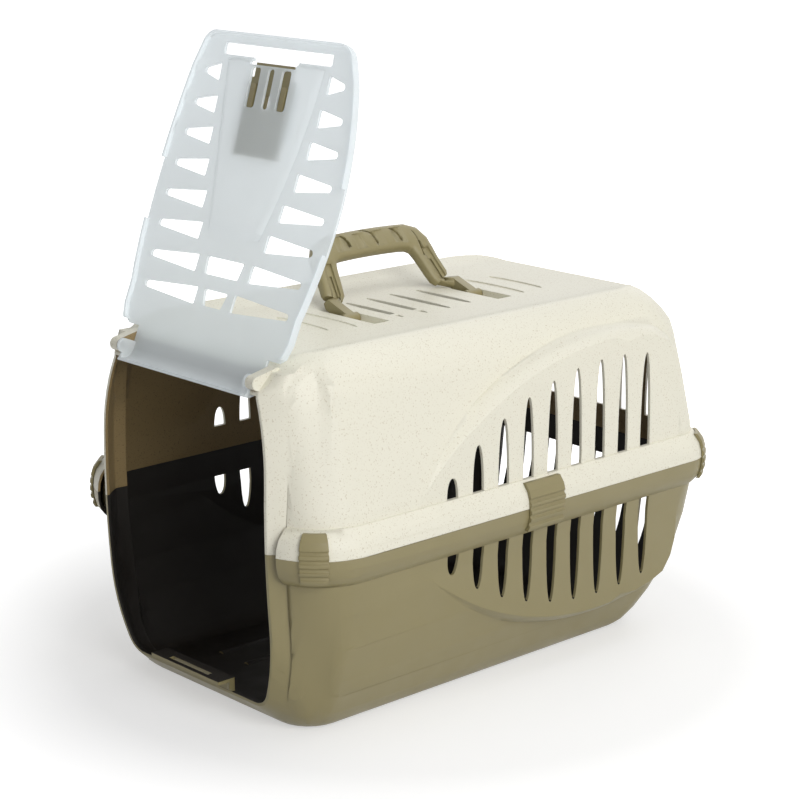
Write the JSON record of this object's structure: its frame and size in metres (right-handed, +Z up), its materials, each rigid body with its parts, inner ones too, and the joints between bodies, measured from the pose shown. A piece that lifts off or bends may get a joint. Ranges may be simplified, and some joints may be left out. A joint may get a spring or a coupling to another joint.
{
  "type": "plastic pet keeper",
  "caption": "Small two-part plastic pet carrier with side slots, a flip-up front door with a sliding latch, a folding roof handle and rim clips",
  "frame": {"origin": "middle of the flat base, on the ground", "axes": "+Z up, -Y towards the front door, +X to the right side as seen from the rear of the handle"},
  "size_m": [0.3392, 0.49, 0.5543],
  "materials": {
    "taupe_plastic": "satin taupe",
    "cream_plastic": "matte cream with fine speckle",
    "frosted_plastic": "frosted translucent white"
  },
  "bodies": {
    "shell": {"lower_shell": "taupe_plastic", "upper_shell": "cream_plastic"},
    "door": {"door": "frosted_plastic"},
    "door_latch": {"door_latch": "taupe_plastic"},
    "handle": {"handle": "taupe_plastic"},
    "clip_side_right": {"clip_side_right": "taupe_plastic"},
    "clip_side_left": {"clip_side_left": "taupe_plastic"},
    "clip_front_right": {"clip_front_right": "taupe_plastic"},
    "clip_front_left": {"clip_front_left": "taupe_plastic"},
    "clip_rear_right": {"clip_rear_right": "taupe_plastic"},
    "clip_rear_left": {"clip_rear_left": "taupe_plastic"}
  },
  "joints": [
    {"name": "door_hinge", "type": "hinge", "parent": "shell", "child": "door", "pos_m": [0, -0.237, 0.298], "axis": [1, 0, 0], "range_deg": [0, 203]},
    {"name": "latch_slide", "type": "slide", "parent": "door", "child": "door_latch", "axis": [0, 0.2906, 0.9568], "range_m": [0, 0.013]},
    {"name": "handle_hinge", "type": "hinge", "parent": "shell", "child": "handle", "pos_m": [0, 0.016, 0.307], "axis": [0, 1, 0], "range_deg": [0, 102]},
    {"name": "clip_side_right_hinge", "type": "hinge", "parent": "shell", "child": "clip_side_right", "pos_m": [0.1603, 0.017, 0.1412], "axis": [0, 1, 0], "range_deg": [0, 45]},
    {"name": "clip_side_left_hinge", "type": "hinge", "parent": "shell", "child": "clip_side_left", "pos_m": [-0.1603, 0.017, 0.1412], "axis": [0, -1, 0], "range_deg": [0, 45]},
    {"name": "clip_front_right_hinge", "type": "hinge", "parent": "shell", "child": "clip_front_right", "pos_m": [0.15157, -0.23007, 0.1412], "axis": [0.7071, 0.7071, 0], "range_deg": [0, 45]},
    {"name": "clip_front_left_hinge", "type": "hinge", "parent": "shell", "child": "clip_front_left", "pos_m": [-0.15157, -0.23007, 0.1412], "axis": [0.7071, -0.7071, 0], "range_deg": [0, 45]},
    {"name": "clip_rear_right_hinge", "type": "hinge", "parent": "shell", "child": "clip_rear_right", "pos_m": [0.15157, 0.23007, 0.1412], "axis": [-0.7071, 0.7071, 0], "range_deg": [0, 45]},
    {"name": "clip_rear_left_hinge", "type": "hinge", "parent": "shell", "child": "clip_rear_left", "pos_m": [-0.15157, 0.23007, 0.1412], "axis": [-0.7071, -0.7071, 0], "range_deg": [0, 45]}
  ]
}
